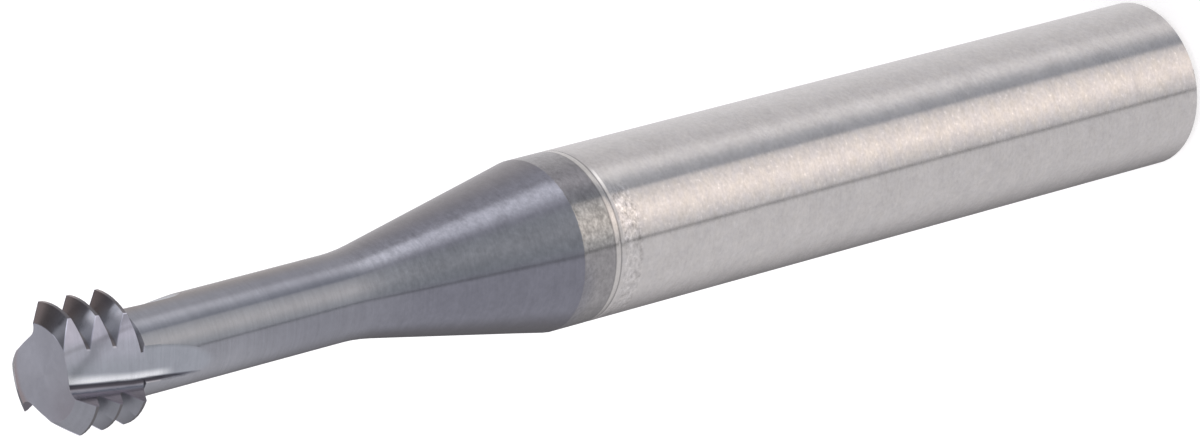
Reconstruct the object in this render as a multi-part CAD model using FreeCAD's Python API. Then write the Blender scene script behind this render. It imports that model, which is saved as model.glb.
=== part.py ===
import FreeCAD, Part
import math
import os

# Solid carbide thread mill for M6 x 1 internal threads, ground from one round rod.
# Three flutes, three full thread-form ridges with no lead, right-hand cut.
# Millimetres. The tool stands on its shank end, the origin is the centre of that end,
# +Z runs along the axis to the cutting head, and +X faces the viewer.

# Shank and overall length
overall_length = 50.0
shank_diameter = 6.0
shank_chamfer = 0.25
shank_length = 29.55

# Fine ring that the finishing wheel left where the shank grinding ended
ring_from_taper = 1.65
ring_width = 0.24
ring_depth = 0.02

# Taper and neck
taper_length = 7.95
neck_diameter = 3.0
taper_foot_radius = 6.5

# Thread form on the head
cutting_diameter = 4.7
pitch = 1.0
ridge_count = 3
tooth_depth = 0.64
crest_flat = 0.12
thread_angle = 60.0
head_core_diameter = 2.72
step_angle = 60.0

# Clearance behind each cutting edge: the land's centre is shifted ahead by this much
relief_shift = 0.2

# Flutes
flute_count = 3
first_edge_angle = 86.0
helix_angle = 10.0
rake_angle = 4.0
flute_core_diameter = 2.70
gullet_radius = 0.4
flute_back_radius = 12.0
land_width_angle = 41.0
flute_full_depth_length = 3.4
run_out_radius = 18.0
flute_section_spacing = 0.5

# The run-out is lifted by this many times the flute's depth in the neck, and by a margin,
# so that its last section is clear of the neck
run_out_lift_ratio = 1.8
run_out_margin = 0.1

# Sizes that follow from those above
shank_radius = shank_diameter / 2
neck_radius = neck_diameter / 2
cutting_radius = cutting_diameter / 2
root_radius = cutting_radius - tooth_depth
flute_core_radius = flute_core_diameter / 2
head_core_radius = head_core_diameter / 2
taper_top = shank_length + taper_length
flank_slope = math.tan(math.radians(thread_angle / 2))
flank_run = tooth_depth * flank_slope
first_crest = overall_length - flank_run - crest_flat / 2
last_crest = first_crest - (ridge_count - 1) * pitch
last_foot = last_crest - crest_flat / 2 - flank_run
root_flat = pitch - crest_flat - 2 * flank_run
neck_flank_foot = last_foot - root_flat
lobe_angle = 360.0 / flute_count
sector_ahead_angle = lobe_angle / 4
cut_margin = 0.35 * cutting_radius
helix_lead = math.pi * cutting_diameter / math.tan(math.radians(helix_angle))


def point(radius, height):
    return FreeCAD.Vector(radius, 0, height)


def revolved(outline, centre=FreeCAD.Vector(0, 0, 0)):
    """Closed outline in the XZ plane, turned all the way round the Z axis, then moved to centre."""
    face = Part.Face(Part.Wire(outline))
    turned = face.revolve(FreeCAD.Vector(0, 0, 0), FreeCAD.Vector(0, 0, 1), 360)
    turned.translate(centre)
    return turned


def polyline(points):
    return [Part.makeLine(a, b) for a, b in zip(points, points[1:])]


def twist_at(height):
    """Angle in degrees by which the helix has turned a section at this height."""
    return 360.0 * (height - overall_length) / helix_lead


# Shank, ring, taper, neck and the core of the head: one revolved outline
def make_body():
    slope = math.atan2(shank_radius - neck_radius, taper_length)
    tangent = taper_foot_radius * math.tan(slope / 2)
    foot_start = point(neck_radius + tangent * math.sin(slope), taper_top - tangent * math.cos(slope))
    foot_end = point(neck_radius, taper_top + tangent)
    foot_centre = point(neck_radius + taper_foot_radius, taper_top + tangent)
    foot_middle = foot_centre - point(
        taper_foot_radius * math.cos(slope / 2), taper_foot_radius * math.sin(slope / 2))
    ring = shank_length - ring_from_taper
    lower = [
        point(0, 0),
        point(shank_radius - shank_chamfer, 0),
        point(shank_radius, shank_chamfer),
        point(shank_radius, ring - ring_width / 2),
        point(shank_radius - ring_depth, ring),
        point(shank_radius, ring + ring_width / 2),
        point(shank_radius, shank_length),
        foot_start,
    ]
    # The neck ends in the lower flank of the last valley, which shows near each heel. The
    # core is that valley's floor, and it lies inside the relieved roots of the ridges.
    upper = [
        foot_end,
        point(neck_radius, neck_flank_foot - (neck_radius - head_core_radius) * flank_slope),
        point(head_core_radius, neck_flank_foot),
        point(head_core_radius, overall_length),
        point(0, overall_length),
        point(0, 0),
    ]
    foot_curve = Part.Arc(foot_start, foot_middle, foot_end).toShape()
    return revolved(polyline(lower) + [foot_curve] + polyline(upper))


# Thread-form ridges: rings with straight flanks, all at the same height on every lobe
def ridge_outline():
    # Below the last ridge the outline slopes inward until it is hidden inside the neck.
    step_depth = root_radius - neck_radius + 2 * relief_shift
    step_run = step_depth / math.tan(math.radians(step_angle))
    points = [
        point(0, last_foot - step_run),
        point(root_radius - step_depth, last_foot - step_run),
    ]
    for ridge in reversed(range(ridge_count)):
        crest = first_crest - ridge * pitch
        points += [
            point(root_radius, crest - crest_flat / 2 - flank_run),
            point(cutting_radius, crest - crest_flat / 2),
            point(cutting_radius, crest + crest_flat / 2),
            point(root_radius, crest + crest_flat / 2 + flank_run),
        ]
    points += [point(0, overall_length), points[0]]
    return polyline(points)


# One lobe: a third of the ridges, turned about a centre that lies ahead of the cutting
# edge, so that the radius falls away behind the edge and only the edge cuts
def make_lobe(edge_angle):
    middle_height = (first_crest + last_crest) / 2
    shift_direction = math.radians(edge_angle + twist_at(middle_height) + 90)
    centre = FreeCAD.Vector(
        relief_shift * math.cos(shift_direction), relief_shift * math.sin(shift_direction), 0)
    ridges = revolved(ridge_outline(), centre)
    # The sector that is kept reaches ahead of the edge as far as the open flute allows.
    sector_radius = 2 * cutting_diameter
    sector_start = edge_angle + sector_ahead_angle - lobe_angle
    sector_sides = 4
    corners = [FreeCAD.Vector(0, 0, 0)]
    for side in range(sector_sides + 1):
        angle = math.radians(sector_start + side * lobe_angle / sector_sides)
        corners.append(FreeCAD.Vector(math.cos(angle), math.sin(angle), 0) * sector_radius)
    corners.append(corners[0])
    sector = Part.Face(Part.makePolygon(corners)).extrude(FreeCAD.Vector(0, 0, 2 * overall_length))
    return ridges.common(sector)


# Section of a flute for an edge on +X: hooked rake face, round gullet and the bulging
# back that passes the heel of the lobe ahead. It is closed outside the ridges.
def flute_section():
    rake = math.radians(rake_angle)
    inward = FreeCAD.Vector(-math.cos(rake), -math.sin(rake), 0)
    ahead = FreeCAD.Vector(-math.sin(rake), math.cos(rake), 0)
    edge = FreeCAD.Vector(cutting_radius, 0, 0)
    # The gullet circle touches the rake face and the core circle.
    start = edge + ahead * gullet_radius
    along = start.dot(inward)
    reach = flute_core_radius + gullet_radius
    gullet_travel = -along - math.sqrt(along ** 2 - start.dot(start) + reach ** 2)
    gullet_centre = start + inward * gullet_travel
    rake_foot = edge + inward * gullet_travel
    # The back circle touches the gullet from the other side and passes the heel.
    heel_angle = math.radians(lobe_angle - land_width_angle)
    heel_radius = cutting_radius - relief_shift * math.sin(math.radians(land_width_angle))
    heel = FreeCAD.Vector(heel_radius * math.cos(heel_angle), heel_radius * math.sin(heel_angle), 0)
    span = heel - gullet_centre
    distance = span.Length
    far_side = gullet_radius + flute_back_radius
    along_span = (distance ** 2 + far_side ** 2 - flute_back_radius ** 2) / (2 * distance)
    across_span = math.sqrt(far_side ** 2 - along_span ** 2)
    unit = span / distance
    side = FreeCAD.Vector(-unit.y, unit.x, 0)
    back_centre = gullet_centre + unit * along_span + side * across_span
    to_back = (back_centre - gullet_centre) / far_side
    back_start = gullet_centre + to_back * gullet_radius
    start_angle = math.atan2(back_start.y - back_centre.y, back_start.x - back_centre.x)
    heel_turn = math.atan2(heel.y - back_centre.y, heel.x - back_centre.x)
    end_angle = heel_turn + cut_margin / flute_back_radius

    def on_back(angle):
        return back_centre + FreeCAD.Vector(math.cos(angle), math.sin(angle), 0) * flute_back_radius

    back_middle = on_back((start_angle + end_angle) / 2)
    back_end = on_back(end_angle)
    gullet_turn = (-ahead + to_back).normalize()
    gullet_middle = gullet_centre + gullet_turn * gullet_radius
    outer_start = edge - inward * cut_margin
    outer_corners = [back_end]
    outer_sides = 3
    for side in range(1, outer_sides):
        angle = math.atan2(back_end.y, back_end.x) * (1 - side / outer_sides)
        corner = FreeCAD.Vector(math.cos(angle), math.sin(angle), 0)
        outer_corners.append(corner * (cutting_radius + cut_margin))
    outer_corners.append(outer_start)
    edges = [Part.makeLine(outer_start, rake_foot)]
    edges.append(Part.Arc(rake_foot, gullet_middle, back_start).toShape())
    edges.append(Part.Arc(back_start, back_middle, back_end).toShape())
    edges += polyline(outer_corners)
    return Part.Wire(edges), gullet_centre


# One flute: the section follows the helix at full depth along the head, then rises out
# of the neck on an arc, as the grinding wheel leaves it
def make_flute(edge_angle):
    section, gullet_centre = flute_section()
    lift_direction = FreeCAD.Vector(gullet_centre).normalize()
    full_depth_end = overall_length - flute_full_depth_length
    clear_lift = run_out_lift_ratio * (neck_radius - flute_core_radius) + run_out_margin
    run_out = math.sqrt(2 * run_out_radius * clear_lift)
    start = overall_length + flute_section_spacing
    count = math.ceil((start - full_depth_end + run_out) / flute_section_spacing)
    sections = []
    for step in range(count + 1):
        height = start - step * flute_section_spacing
        below = max(0.0, full_depth_end - height)
        lifted = section.copy()
        lifted.translate(lift_direction * (below ** 2 / (2 * run_out_radius)))
        lifted.rotate(FreeCAD.Vector(0, 0, 0), FreeCAD.Vector(0, 0, 1), edge_angle + twist_at(height))
        lifted.translate(FreeCAD.Vector(0, 0, height))
        sections.append(lifted)
    return Part.makeLoft(sections, True, False)


# The whole tool, one solid
def make_thread_mill():
    edge_angles = [first_edge_angle + lobe * lobe_angle for lobe in range(flute_count)]
    blank = make_body().fuse([make_lobe(angle) for angle in edge_angles])
    blank = blank.removeSplitter()
    return blank.cut([make_flute(angle) for angle in edge_angles])


thread_mill = make_thread_mill()
os.makedirs("parts", exist_ok=True)
thread_mill.Solids[0].exportStep("parts/thread_mill.step")
print("thread mill solids", len(thread_mill.Solids), "valid", thread_mill.isValid(),
      "volume mm3", round(thread_mill.Volume, 2))
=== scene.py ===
import math
import bpy
from mathutils import Matrix, Vector

# A solid carbide thread mill stands on the end of its shank. The shank is bare ground
# carbide, and the taper, neck and head carry a dark violet-grey hard coating. Metres.
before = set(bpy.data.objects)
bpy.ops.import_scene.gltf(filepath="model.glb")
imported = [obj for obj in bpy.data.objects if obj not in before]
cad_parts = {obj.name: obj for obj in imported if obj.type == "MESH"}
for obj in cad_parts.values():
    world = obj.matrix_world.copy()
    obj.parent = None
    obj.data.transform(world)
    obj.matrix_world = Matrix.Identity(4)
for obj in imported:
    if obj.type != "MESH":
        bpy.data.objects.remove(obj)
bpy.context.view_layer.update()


# The camera looks down on the tool from the side of its cutting head. It is far away with
# a long lens, and it is rolled so that the standing tool lies across the picture.
picture_width = 1200
sensor_width = 36.0
focal_length_in_pixels = 7152.7
camera_place = Vector((0.190954, 0.0, 0.1793))
camera_target = Vector((0.0, 0.000183, 0.026228))
camera_roll = -1.831

ahead = (camera_target - camera_place).normalized()
level_right = ahead.cross(Vector((0, 0, 1))).normalized()
level_up = level_right.cross(ahead)
right = math.cos(camera_roll) * level_right + math.sin(camera_roll) * level_up
up = math.cos(camera_roll) * level_up - math.sin(camera_roll) * level_right
camera_data = bpy.data.cameras.new("camera")
camera_data.sensor_width = sensor_width
camera_data.lens = focal_length_in_pixels / picture_width * sensor_width
camera_data.clip_start = 0.01
camera_data.clip_end = 20
camera = bpy.data.objects.new("camera", camera_data)
bpy.context.scene.collection.objects.link(camera)
camera_turn = Matrix((right, up, -ahead)).transposed().to_4x4()
camera.matrix_world = Matrix.Translation(camera_place) @ camera_turn
bpy.context.scene.camera = camera
bpy.context.scene.view_settings.view_transform = "Standard"


# The studio is a room of pale and dark panels, which light the tool and show in its metal:
# a window behind the camera, its frame and dark gaps beside it, a dim corner behind the
# tool and a card over it. The camera itself sees plain white.
class Wire:
    """An output of a node. Arithmetic on it adds Math nodes."""

    def __init__(self, nodes, socket):
        self.nodes = nodes
        self.socket = socket

    def __add__(self, other):
        return self.nodes.math("ADD", self, other)

    def __radd__(self, other):
        return self.nodes.math("ADD", other, self)

    def __sub__(self, other):
        return self.nodes.math("SUBTRACT", self, other)

    def __rsub__(self, other):
        return self.nodes.math("SUBTRACT", other, self)

    def __mul__(self, other):
        return self.nodes.math("MULTIPLY", self, other)

    def __rmul__(self, other):
        return self.nodes.math("MULTIPLY", other, self)

    def __truediv__(self, other):
        return self.nodes.math("DIVIDE", self, other)

    def __abs__(self):
        return self.nodes.math("ABSOLUTE", self)


class Nodes:
    """The nodes of one material or of the world."""

    def __init__(self, owner):
        owner.use_nodes = True
        self.tree = owner.node_tree
        self.tree.nodes.clear()

    def add(self, kind, settings, sockets, outputs=None):
        """Adds a node: its settings first, then its sockets. Returns its first output, or
        a list of the outputs that are named."""
        node = self.tree.nodes.new(kind)
        for name, value in settings.items():
            setattr(node, name, value)
        for name, value in sockets.items():
            if isinstance(value, Wire):
                self.tree.links.new(value.socket, node.inputs[name])
            else:
                node.inputs[name].default_value = value
        if outputs is None:
            return Wire(self, node.outputs[0]) if node.outputs else None
        return [Wire(self, node.outputs[name]) for name in outputs]

    def math(self, operation, *values):
        return self.add("ShaderNodeMath", {"operation": operation}, dict(enumerate(values)))

    def rise(self, value, low, high):
        """0 below low and 1 above high, with a soft step between."""
        return self.add("ShaderNodeMapRange", {"interpolation_type": "SMOOTHSTEP"}, {
            "Value": value, "From Min": low, "From Max": high})

    def fall(self, value, low, high):
        """1 below low and 0 above high, with a soft step between."""
        return 1 - self.rise(value, low, high)

    def band(self, value, low, high, edge):
        """1 between low and high, with soft edges."""
        return self.rise(value, low - edge, low + edge) * self.fall(value, high - edge, high + edge)

    def blend(self, amount, below, above):
        """Colour mix: below where amount is 0 and above where it is 1. Sockets 6 and 7 of
        the node are its two colours, and output 2 is the mixed one."""
        below, above = [(*c, 1) if isinstance(c, tuple) else c for c in (below, above)]
        return self.add("ShaderNodeMix", {"data_type": "RGBA"}, {
            0: amount, 6: below, 7: above}, [2])[0]


world = bpy.data.worlds.new("studio")
bpy.context.scene.world = world
studio = Nodes(world)
sight = studio.add("ShaderNodeTexCoord", {}, {}, ["Generated"])[0]
sight_x, sight_y, sight_z = studio.add(
    "ShaderNodeSeparateXYZ", {}, {"Vector": sight}, ["X", "Y", "Z"])
azimuth = studio.math("ARCTAN2", sight_y, sight_x) * math.degrees(1)
elevation = studio.math("ARCSINE", sight_z) * math.degrees(1)

# In degrees: azimuth from and to, and the softness of those two edges, then elevation from
# and to, and the softness of both. 999 and 99 stand for no edge there. Then the colour.
panels = {
    "left wall": (115, 999, 25, 1, -99, -10, 10, (0.95, 0.93, 0.95)),
    "far wall": (-999, -124, 1, 30, -99, 5, 10, (0.34, 0.33, 0.34)),
    "dark corner": (-999, -150, 1, 6, -99, 5, 10, (0.22, 0.215, 0.22)),
    "window": (-10, 28, 21, 28, -99, -26, 6, (1.50, 1.35, 1.27)),
    "gap beside the window": (38, 60, 1.2, 10, -99, -29, 5, (0.37, 0.39, 0.44)),
    "slit beside the gap": (66, 80, 8, 8, -99, -29, 5, (0.90, 0.87, 0.89)),
    "wall beside the window": (-30, -2, 4, 8, -22, 6, 5, (0.68, 0.67, 0.69)),
    "strip light": (46, 72, 12, 8, -27, 0, 5, (1.97, 1.94, 1.95)),
    "window frame": (-29.6, -26.4, 0.8, 0.8, -99, -28, 5, (0.14, 0.14, 0.14)),
    "upper window frame": (-30.0, -26.0, 1, 1, -19, 0, 3, (0.20, 0.20, 0.20)),
    "pale wall": (-175, -60, 10, 10, 18, 99, 8, (0.96, 0.94, 0.97)),
    "wall above the card": (40, 175, 20, 8, 12, 99, 10, (0.74, 0.73, 0.77)),
}
room = (0.80, 0.78, 0.80)
for start, stop, start_edge, stop_edge, low, high, height_edge, panel_colour in panels.values():
    sides = studio.rise(azimuth, start - start_edge, start + start_edge)
    sides = sides * studio.fall(azimuth, stop - stop_edge, stop + stop_edge)
    room = studio.blend(sides * studio.band(elevation, low, high, height_edge), room, panel_colour)

# The dark card leans over the tool. Its near edge is a straight line across the room, and
# a strip of bright paper lies along it.
card_slope = Vector((-0.723, 0.436, -0.535))
card_edge = (-0.015, 0.02)
card_colour = (0.20, 0.185, 0.20)
card_strip_colour = (1.50, 1.48, 1.55)
white = (1.0, 1.0, 1.0)
past_edge = sight_x * card_slope.x + sight_y * card_slope.y + sight_z * card_slope.z
beside_tool = studio.rise(sight_y, 0.25, 0.45)
above_tool = studio.rise(elevation, 5, 15)
card_strip = studio.rise(past_edge, -0.25, -0.10) * studio.fall(past_edge, *card_edge)
card = studio.rise(past_edge, *card_edge) * studio.fall(past_edge, 0.30, 0.62)
room = studio.blend(card_strip * beside_tool * above_tool, room, card_strip_colour)
room = studio.blend(card * beside_tool * above_tool, room, card_colour)
seen_by_camera = studio.add("ShaderNodeLightPath", {}, {}, ["Is Camera Ray"])[0]
backdrop = studio.blend(seen_by_camera, room, white)
light = studio.add("ShaderNodeBackground", {}, {"Color": backdrop})
studio.add("ShaderNodeOutputWorld", {}, {"Surface": light})


# The floor is one sheet of matt white paper. It glows a little for the camera alone, so
# that it meets the white background. It neither shades the tool nor shows in its metal,
# where the room's lower panels are seen instead.
floor_size = 4.0
floor_colour = (0.82, 0.82, 0.82, 1)
floor_glow = 0.49

half = floor_size / 2
floor_corners = [(-half, -half, 0), (half, -half, 0), (half, half, 0), (-half, half, 0)]
floor_mesh = bpy.data.meshes.new("floor")
floor_mesh.from_pydata(floor_corners, [], [(0, 1, 2, 3)])
floor = bpy.data.objects.new("floor", floor_mesh)
bpy.context.scene.collection.objects.link(floor)
floor.visible_glossy = False
floor.visible_shadow = False
white_paper = bpy.data.materials.new("white_paper")
paper = Nodes(white_paper)
seen_by_camera = paper.add("ShaderNodeLightPath", {}, {}, ["Is Camera Ray"])[0]
matt = paper.add("ShaderNodeBsdfDiffuse", {}, {"Color": floor_colour})
glow = paper.add("ShaderNodeEmission", {}, {"Strength": seen_by_camera * floor_glow})
both = paper.add("ShaderNodeAddShader", {}, {0: matt, 1: glow})
paper.add("ShaderNodeOutputMaterial", {}, {"Surface": both})
floor_mesh.materials.append(white_paper)


# The thread mill is one ground rod of fine-grain carbide, and the wheel left fine lines
# round its shank, taper and neck. The hard coating ends just behind the taper. Sizes in
# this section are in millimetres and degrees.
millimetres_in_metre = 1000.0
overall_length = 50.0
chamfer_top = 0.3
ring_height = 27.90
taper_base = 29.55
neck_base = 37.5
neck_top = 46.3
neck_radius = 1.5
head_base = 46.9

carbide = bpy.data.materials.new("carbide")
ground = Nodes(carbide)
position, facing = ground.add("ShaderNodeTexCoord", {}, {}, ["Object", "Normal"])
place = ground.add("ShaderNodeVectorMath", {"operation": "SCALE"}, {
    0: position, "Scale": millimetres_in_metre})
x, y, height = ground.add("ShaderNodeSeparateXYZ", {}, {"Vector": place}, ["X", "Y", "Z"])
radius = ground.math("SQRT", x * x + y * y)
along_axis = ground.add("ShaderNodeSeparateXYZ", {}, {"Vector": facing}, ["Z"])[0]

# Sides of the tool: 1 is uppermost in the picture, 0 is the front line, -1 is lowest
side = y / radius
front_strip = ground.band(side, -0.22, 0.32, 0.08)
high_side = ground.band(side, 0.42, 0.78, 0.12)


def grain(around, along, detail):
    """Noise stretched round the tool: patches per millimetre around it and along it."""
    stretched = ground.add("ShaderNodeCombineXYZ", {}, {
        "X": x * around, "Y": y * around, "Z": height * along})
    return ground.add("ShaderNodeTexNoise", {}, {
        "Vector": stretched, "Scale": 1.0, "Detail": detail, "Roughness": 0.6})


noise_middle = 0.5
fine_grain = grain(6.0, 8.0, 2.0)
wheel_lines = grain(0.4, 14.0, 2.0)
clouds = grain(0.9, 1.1, 2.0)
mottle = grain(2.4, 3.0, 3.0)
tint = grain(2.5, 3.5, 1.0)

# Zones along the tool: the coating starts thin just past the ring and is full from the
# taper on, where its edge is a little ragged.
thin_base = ring_height + 0.26
thin_edge = 0.04
taper_edge = 0.02
raggedness = 0.08
neck_blend = 1.5
head_edge = 0.05
ragged_height = height + (fine_grain - noise_middle) * raggedness
part_coated = ground.rise(height, thin_base, thin_base + thin_edge)
coated = ground.rise(ragged_height, taper_base - taper_edge, taper_base + taper_edge)
on_taper = coated * ground.fall(height, neck_base - neck_blend, neck_base + neck_blend)
to_neck = ground.rise(height, neck_base - 2 * neck_blend, neck_base + neck_blend)
up_neck = ground.rise(height, 37.0, 41.0)
to_head = ground.rise(height, 39.5, 44.9)
head = ground.rise(height, head_base, head_base + head_edge)

# The bare shank has warm and cool patches. Towards the ring it is a little paler, and it
# carries painted shade along its upper side.
warm_carbide = (0.615, 0.595, 0.57)
cool_carbide = (0.585, 0.575, 0.58)
pale_carbide = (0.95, 0.93, 0.91)
painted_shade_carbide = (0.3, 0.29, 0.29)
pale_strength = 0.03
top_shade_strength = 0.1
patch_strength = 0.8 + front_strip * 1.8
patches = noise_middle + (tint - noise_middle) * patch_strength
pale = ground.rise(height, 8.0, 26.0)
painted_top_shade = ground.rise(height, 16.0, 27.0) * ground.rise(side, 0.25, 0.55)
bare = ground.blend(patches, cool_carbide, warm_carbide)
bare = ground.blend(pale * pale_strength, bare, pale_carbide)
bare = ground.blend(painted_top_shade * top_shade_strength, bare, painted_shade_carbide)

# The thin coating between the ring and the taper lets the metal through. It carries
# painted shade along its high side and a painted highlight along its front
thin_coating = (0.32, 0.315, 0.32)
painted_thin_shade = (0.21, 0.207, 0.23)
painted_thin_highlight = (0.362, 0.366, 0.36)
thin_shade_strength = 0.6
thin = ground.blend(high_side * thin_shade_strength, thin_coating, painted_thin_shade)
thin = ground.blend(front_strip, thin, painted_thin_highlight)

# The full coating turns from violet-grey on the taper to a paler grey on the head. Painted
# light lies on it: a painted highlight on the taper's high side and low on the neck, painted
# shade under the taper, and painted reflections, browner along its top and bluer along its front.
taper_coating = (0.226, 0.2315, 0.272)
neck_coating = (0.279, 0.287, 0.325)
head_coating = (0.317, 0.327, 0.362)
painted_taper_highlight = (0.9, 0.9, 0.95)
taper_highlight_strength = 0.045
painted_taper_shade = (0.14, 0.135, 0.15)
taper_shade_strength = 0.75
painted_neck_highlight = (0.9, 0.92, 0.97)
neck_highlight_strength = 0.11
painted_taper_brown_reflection = (0.235, 0.222, 0.225)
painted_neck_brown_reflection = (0.225, 0.198, 0.182)
brown_reflection_strength = 0.8
painted_taper_blue_reflection = (0.198, 0.224, 0.244)
painted_neck_blue_reflection = (0.285, 0.312, 0.338)
blue_reflection_strength = 0.6
underside = ground.fall(side, -1.0, -0.82)
low_neck = ground.fall(side, -0.95, -0.1) * ground.rise(height, 39.5, 44.0) * (1 - head)
top_side = ground.rise(side, 0.72, 0.97)
painted_brown_reflection = ground.blend(up_neck, painted_taper_brown_reflection, painted_neck_brown_reflection)
painted_blue_reflection = ground.blend(to_neck, painted_taper_blue_reflection, painted_neck_blue_reflection)
coating = ground.blend(to_neck, taper_coating, neck_coating)
coating = ground.blend(to_head, coating, head_coating)
coating = ground.blend(high_side * (1 - up_neck) * taper_highlight_strength, coating, painted_taper_highlight)
coating = ground.blend(underside * taper_shade_strength * on_taper, coating, painted_taper_shade)
coating = ground.blend(low_neck * neck_highlight_strength, coating, painted_neck_highlight)
coating = ground.blend(top_side * brown_reflection_strength, coating, painted_brown_reflection)
coating = ground.blend(front_strip * blue_reflection_strength * (1 - head), coating, painted_blue_reflection)

# The three lie one over the other, with a haze of full coating low on the thin one
haze_strength = 0.5
haze = ground.rise(height, 28.8, 29.5) * ground.fall(y, -1.9, -0.7)
colour = ground.blend(part_coated, bare, thin)
colour = ground.blend(haze * haze_strength * part_coated, colour, taper_coating)
colour = ground.blend(coated, colour, coating)

# The flute as the wheel cut it, seen along the axis with the cutting edge on X: the hooked
# rake face, the round gullet and the back that rises to the heel of the lobe ahead.
cutting_radius = 2.35
relief_shift = 0.2
lobe_angle = 120.0
land_angle = 41.0
first_edge_angle = 86.0
rake_angle = 4.0
core_radius = 1.35
gullet_radius = 0.4
flute_back_radius = 12.0
rake = math.radians(rake_angle)
inward = Vector((-math.cos(rake), -math.sin(rake)))
onward = Vector((-math.sin(rake), math.cos(rake)))
edge_point = Vector((cutting_radius, 0.0))
gullet_start = edge_point + onward * gullet_radius
gullet_reach = core_radius + gullet_radius
along = gullet_start.dot(inward)
gullet_travel = -along - math.sqrt(along ** 2 - gullet_start.length_squared + gullet_reach ** 2)
gullet_centre = gullet_start + inward * gullet_travel
heel_angle = math.radians(lobe_angle - land_angle)
heel_radius = cutting_radius - relief_shift * math.sin(math.radians(land_angle))
heel_point = Vector((math.cos(heel_angle), math.sin(heel_angle))) * heel_radius
span = heel_point - gullet_centre
far_side = gullet_radius + flute_back_radius
along_span = (span.length_squared + far_side ** 2 - flute_back_radius ** 2) / (2 * span.length)
across_span = math.sqrt(far_side ** 2 - along_span ** 2)
unit = span.normalized()
back_centre = gullet_centre + unit * along_span + Vector((-unit.y, unit.x)) * across_span
back_start = gullet_centre + (back_centre - gullet_centre).normalized() * gullet_radius
back_line = (heel_point - back_start).normalized()

# Where a point lies in that section, once the helix and the run-out are taken off it. Each
# lobe's share reaches from 20 degrees behind its cutting edge to 100 degrees ahead of it.
twist_per_millimetre = 4.30
full_depth_end = 46.6
run_out_radius = 18.0
behind_edge = 20.0
turn = ground.math("ARCTAN2", y, x) * math.degrees(1)
turn = turn - first_edge_angle - (height - overall_length) * twist_per_millimetre
from_edge = ground.math("FLOORED_MODULO", turn + behind_edge, lobe_angle) - behind_edge
below_full_depth = ground.math("MAXIMUM", full_depth_end - height, 0.0)
lift = below_full_depth * below_full_depth / (2 * run_out_radius)
lift_direction = gullet_centre.normalized()
section_turn = from_edge * math.radians(1)
section_x = radius * ground.math("COSINE", section_turn) - lift * lift_direction.x
section_y = radius * ground.math("SINE", section_turn) - lift * lift_direction.y
up_back = (section_x - back_start.x) * back_line.x + (section_y - back_start.y) * back_line.y
past_rake = (section_x - edge_point.x) * onward.x + (section_y - edge_point.y) * onward.y


def off_circle(centre, circle_radius):
    """Distance in the section from a circle."""
    across = section_x - centre.x
    upward = section_y - centre.y
    return ground.math("SQRT", across * across + upward * upward) - circle_radius


def near(distance):
    """1 where the distance is nearly nothing."""
    skin = 0.02
    return ground.fall(abs(distance), skin, 2 * skin)


# The surfaces of the head: its flat end, the three faces of the flutes, and the lands
end_skin = 0.012
end_face = ground.rise(height, overall_length - end_skin, overall_length - end_skin / 2)
on_rake = near(past_rake) * ground.rise(radius, 1.66, 1.72) * head
on_gullet = near(off_circle(gullet_centre, gullet_radius))
on_back = near(off_circle(back_centre, flute_back_radius)) * ground.rise(up_back, -0.05, 0.0)
in_flute = ground.math("MAXIMUM", on_rake, ground.math("MAXIMUM", on_gullet, on_back))
in_flute = in_flute * (1 - end_face)
below_neck = ground.rise(neck_radius - radius, 0.0, 0.06)
in_flute = in_flute * ground.math("MAXIMUM", below_neck, head)
land = head * (1 - in_flute) * (1 - end_face)
upper_lobe = ground.rise(y, 0.0, 0.4)
other_lobes = 1 - upper_lobe
first_ridge = ground.rise(height, 49.1, 49.2)
other_ridges = 1 - first_ridge

# The flanks of the ridges that face the tip get painted shade lobe by lobe, and the upper
# lobe's get a painted highlight towards the heel. The flanks that face the shank get a
# painted highlight, and the other lobes' flanks get painted shadow at their foot behind
# the cutting edge.
flank_darkness = 0.2
other_ridges_darkness = 0.11 - upper_lobe * 0.23
upper_heel_darkness = 0.35
lower_crest_darkness = 0.2
flank_highlight_strength = 0.35
rear_highlight_strength = 0.5
root_shadow_strength = 0.5
flank_shadow = (0.0, 0.0, 0.0)
painted_flank_highlight = (0.62, 0.62, 0.67)
painted_rear_highlight = (0.60, 0.60, 0.62)
painted_root_shadow = (0.08, 0.075, 0.095)
flank = ground.rise(along_axis, 0.4, 0.6) * ground.rise(height, 46.6, 46.65)
flank = flank * (1 - in_flute) * (1 - end_face)
rear_flank = ground.fall(along_axis, -0.6, -0.4) * land
near_heel = ground.rise(from_edge, 25.0, 35.0) * ground.fall(from_edge, 82.0, 87.0)
near_crest = ground.rise(radius, 1.9, 2.3) * ground.rise(from_edge, 20.0, 30.0)
flank_highlight_mask = flank * upper_lobe * other_ridges * near_heel * ground.rise(radius, 1.85, 2.1)
flank_shade = flank * (flank_darkness + other_ridges * other_ridges_darkness)
flank_shade = flank_shade + flank * upper_lobe * first_ridge * near_heel * upper_heel_darkness
flank_shade = flank_shade + flank * other_lobes * other_ridges * near_crest * lower_crest_darkness
at_edge = ground.fall(from_edge, 0.3, 1.0) * land
at_root = ground.rise(from_edge, -12.0, -4.0) * at_edge * other_lobes * other_ridges
at_root = at_root * ground.fall(radius, 1.85, 2.05)
colour = ground.blend(flank_shade, colour, flank_shadow)
colour = ground.blend(flank_highlight_mask * flank_highlight_strength, colour, painted_flank_highlight)
colour = ground.blend(rear_flank * rear_highlight_strength, colour, painted_rear_highlight)
colour = ground.blend(at_root * root_shadow_strength, colour, painted_root_shadow)

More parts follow.
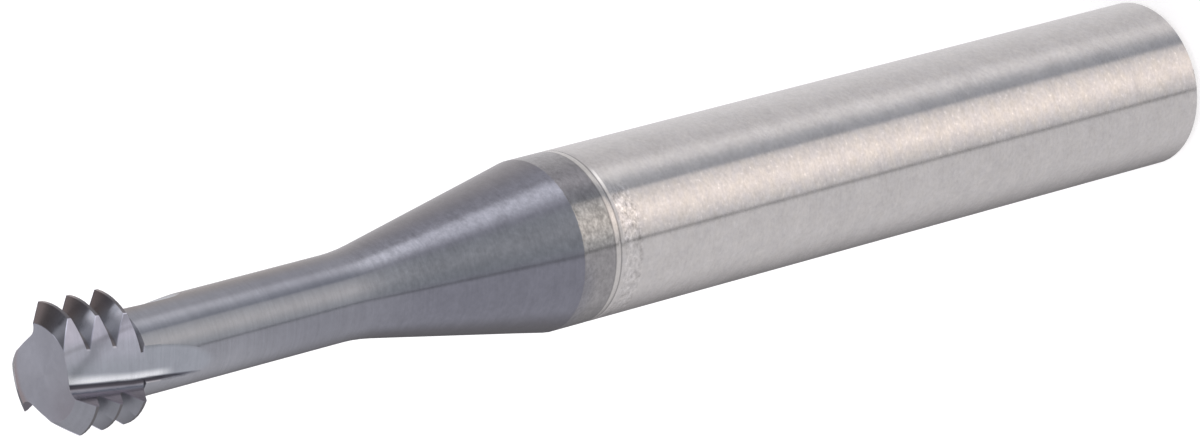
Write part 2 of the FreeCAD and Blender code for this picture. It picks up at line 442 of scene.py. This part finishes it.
# The flat end is darker towards its lower side, and brown at its left rim
end_coating = (0.338, 0.345, 0.388)
low_end_coating = (0.252, 0.245, 0.275)
rim_brown = (0.325, 0.28, 0.287)
rim_strength = 0.95
rim_waviness = 0.3
low_end = ground.fall(y, -1.6, 0.2) * ground.rise(x, -0.8, 0.6) * end_face
wavy_radius = radius + (clouds - noise_middle) * rim_waviness
rim = ground.rise(wavy_radius, 1.35, 1.65) * ground.fall(x, -1.0, -0.2) * end_face
colour = ground.blend(end_face, colour, end_coating)
colour = ground.blend(low_end, colour, low_end_coating)
colour = ground.blend(rim * rim_strength, colour, rim_brown)

# The crests get painted shade, and the land behind the upper lobe's cutting edge gets a
# warm brown painted highlight
painted_crest_shade = (0.15, 0.145, 0.155)
painted_warm_highlight = (0.35, 0.293, 0.28)
warm_highlight_strength = 0.7
crest = ground.fall(abs(along_axis), 0.2, 0.4) * land
warm_highlight_mask = ground.rise(from_edge, -19.0, -4.0) * at_edge * upper_lobe
colour = ground.blend(crest, colour, painted_crest_shade)
colour = ground.blend(warm_highlight_mask * warm_highlight_strength, colour, painted_warm_highlight)

# The back of the flute gets a painted highlight at the heel, and a faint painted reflection
# of a dark line that slants across it
flute_coating = (0.385, 0.41, 0.455)
painted_heel_highlight = (0.54, 0.54, 0.62)
heel_highlight_strength = 0.4
painted_dark_reflection = (0.15, 0.15, 0.16)
dark_reflection_strength = 0.25
dark_reflection_top = 49.5
dark_reflection_slant = 0.24
up_to_heel = ground.rise(up_back, 0.4, 1.0) * on_back * head
heel = ground.rise(up_back, 1.15, 1.5) * on_back * head
dark_reflection_place = up_back - (dark_reflection_top - height) * dark_reflection_slant
dark_reflection_streak = ground.band(dark_reflection_place, 1.12, 1.26, 0.07) * on_back * head
colour = ground.blend(in_flute, colour, flute_coating)
colour = ground.blend(up_to_heel * heel_highlight_strength, colour, painted_heel_highlight)
colour = ground.blend(heel, colour, painted_heel_highlight)
colour = ground.blend(dark_reflection_streak * dark_reflection_strength, colour, painted_dark_reflection)

# The corner of the flute carries painted light: a painted highlight strip on the gullet,
# then painted shade with a painted shadow line in it, a paler band below the rake face, and
# painted shade on the rake face. Their places are angles round the gullet, and they lie
# higher up the corner near the tip.
painted_gullet_highlight = (0.93, 0.96, 1.0)
painted_corner_shade = (0.225, 0.235, 0.28)
painted_corner_shadow = (0.06, 0.06, 0.075)
run_out_line_strength = 0.75
painted_rake_shade = (0.178, 0.168, 0.198)
painted_deep_rake_shade = (0.18, 0.166, 0.205)
climb_start = 49.45
climb_length = 2.0
climb_per_millimetre = 7.6
gullet_x = section_x - gullet_centre.x
gullet_y = section_y - gullet_centre.y
round_gullet = ground.math("ARCTAN2", gullet_y, gullet_x) * math.degrees(1)
round_gullet = ground.math("FLOORED_MODULO", round_gullet, 360.0)
climb = ground.math("MINIMUM", climb_start - height, climb_length) * climb_per_millimetre
corner_place = round_gullet - climb
bright_strip = ground.rise(corner_place, 154.0, 184.0) * ground.fall(corner_place, 188.0, 201.0)
bright_strip = bright_strip * in_flute * ground.rise(height, 45.6, 46.5)
past_strip = ground.rise(corner_place, 192.0, 204.0) * in_flute
dark_line = past_strip * ground.fall(corner_place, 213.0, 226.0)
before_run_out = ground.rise(height, 45.5, 46.5)
dark_line = dark_line * (run_out_line_strength + before_run_out * (1 - run_out_line_strength))
rake_face = ground.rise(corner_place, 233.0, 250.0) * in_flute * head
middle_ridges = ground.band(height, 47.75, 49.65, 0.12)
colour = ground.blend(bright_strip, colour, painted_gullet_highlight)
colour = ground.blend(past_strip, colour, painted_corner_shade)
colour = ground.blend(dark_line, colour, painted_corner_shadow)
colour = ground.blend(rake_face, colour, painted_rake_shade)
colour = ground.blend(rake_face * middle_ridges, colour, painted_deep_rake_shade)

# The fine ring near the front of the shank is a bright strip between two dark lines: the
# lower one is painted shadow in the ring's groove, the upper one the coating's edge. One
# faint line crosses the shank's front near its other end.
ring_metal = (0.60, 0.585, 0.56)
ring_metal_strength = 0.6
groove_shadow_and_coating_edge = (0.15, 0.15, 0.15)
groove_shadow_and_edge_strength = 0.55
faint_mark = (0.2, 0.2, 0.2)
faint_strength = 0.1
ring_middle = ground.band(height, ring_height + 0.06, ring_height + 0.22, 0.03)
ring_lines = ground.band(height, ring_height - 0.02, ring_height + 0.05, 0.02)
ring_lines = ring_lines + ground.band(height, ring_height + 0.24, ring_height + 0.30, 0.02)
faint_line = ground.band(height, 3.0, 3.3, 0.12) * front_strip
colour = ground.blend(ring_middle * ring_metal_strength, colour, ring_metal)
colour = ground.blend(ring_lines * groove_shadow_and_edge_strength, colour, groove_shadow_and_coating_edge)
colour = ground.blend(faint_line * faint_strength, colour, faint_mark)

# Speckle: the grain shows most in a rough patch below the ring and in the thin coating,
# more on the shank's front than round it, and least in the full coating.
rough_patch = ground.band(height, ring_height - 0.95, ring_height - 0.15, 0.06)
rough_patch = rough_patch * ground.fall(side, 0.3, 0.5)
patch_unevenness = 0.55 + front_strip * 0.45
thin_unevenness = 0.3 + front_strip * 0.5
taper_unevenness = high_side * 0.25 + front_strip * 0.16
uneven = rough_patch * patch_unevenness
uneven = uneven + part_coated * (1 - coated) * thin_unevenness
uneven = uneven + on_taper * taper_unevenness
bare_strip = front_strip * (1 - coated)
grain_strength = 0.27 + bare_strip * 0.16 + uneven * 1.2 - coated * 0.17 + on_taper * 0.1
mottle_strength = 0.17 + bare_strip * 0.11 + uneven * 1.1 - coated * 0.03 + on_taper * 0.14
line_strength = 0.08 + coated * 0.1
cloud_strength = 0.2
bright_speck_strength = 0.22
bright_specks = ground.rise(fine_grain, 0.62, 0.78) * (1 - part_coated) * bare_strip
speckle = (fine_grain - noise_middle) * grain_strength
speckle = speckle + (mottle - noise_middle) * mottle_strength
speckle = speckle + bright_specks * bright_speck_strength
speckle = speckle + (wheel_lines - noise_middle) * line_strength
speckle = speckle + (clouds - noise_middle) * cloud_strength
tone = 1 + speckle
shade = ground.add("ShaderNodeCombineXYZ", {}, {"X": tone, "Y": tone, "Z": tone})
colour = ground.add("ShaderNodeMix", {"data_type": "RGBA", "blend_type": "MULTIPLY"}, {
    0: 1.0, 6: colour, 7: shade}, [2])[0]

# The mesh's facets would bend the reflections, so the turned surfaces face straight away
# from the axis. The flutes and the head keep the mesh's own directions.
facet_dip = 0.012
dip_margin = 0.008
turned = ground.rise(radius, neck_radius - facet_dip - dip_margin, neck_radius - facet_dip)
turned = turned * ground.band(height, chamfer_top, neck_top, 0.02)
sideways = ground.math("SQRT", 1 - along_axis * along_axis)
outward = ground.add("ShaderNodeCombineXYZ", {}, {
    "X": x / radius * sideways, "Y": side * sideways, "Z": along_axis})
surface_direction = ground.add("ShaderNodeMix", {"data_type": "VECTOR"}, {
    0: turned, 4: facing, 5: outward}, [1])[0]
surface_direction = ground.add("ShaderNodeVectorTransform", {
    "vector_type": "NORMAL", "convert_from": "OBJECT", "convert_to": "WORLD"}, {
    "Vector": surface_direction})

# The wheel's lines are a bump of less than a micrometre. The gloss is brushed, so that
# reflections spread along the tool, across the lines.
line_depth_in_metres = 0.0000004
ground_roughness = 0.19
coating_roughness = 0.03
cloud_roughness = 0.05
roughness = ground_roughness + coated * coating_roughness
roughness = roughness + (clouds - noise_middle) * cloud_roughness
bump = ground.add("ShaderNodeBump", {}, {
    "Height": wheel_lines, "Strength": 1.0, "Distance": line_depth_in_metres,
    "Normal": surface_direction})
surface = ground.add("ShaderNodeBsdfPrincipled", {}, {
    "Base Color": colour, "Metallic": 1.0, "Roughness": roughness,
    "Anisotropic": 1.0, "Anisotropic Rotation": 0.25, "Normal": bump})
ground.add("ShaderNodeOutputMaterial", {}, {"Surface": surface})
thread_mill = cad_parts["thread_mill"]
for slot in thread_mill.material_slots:
    slot.material = carbide
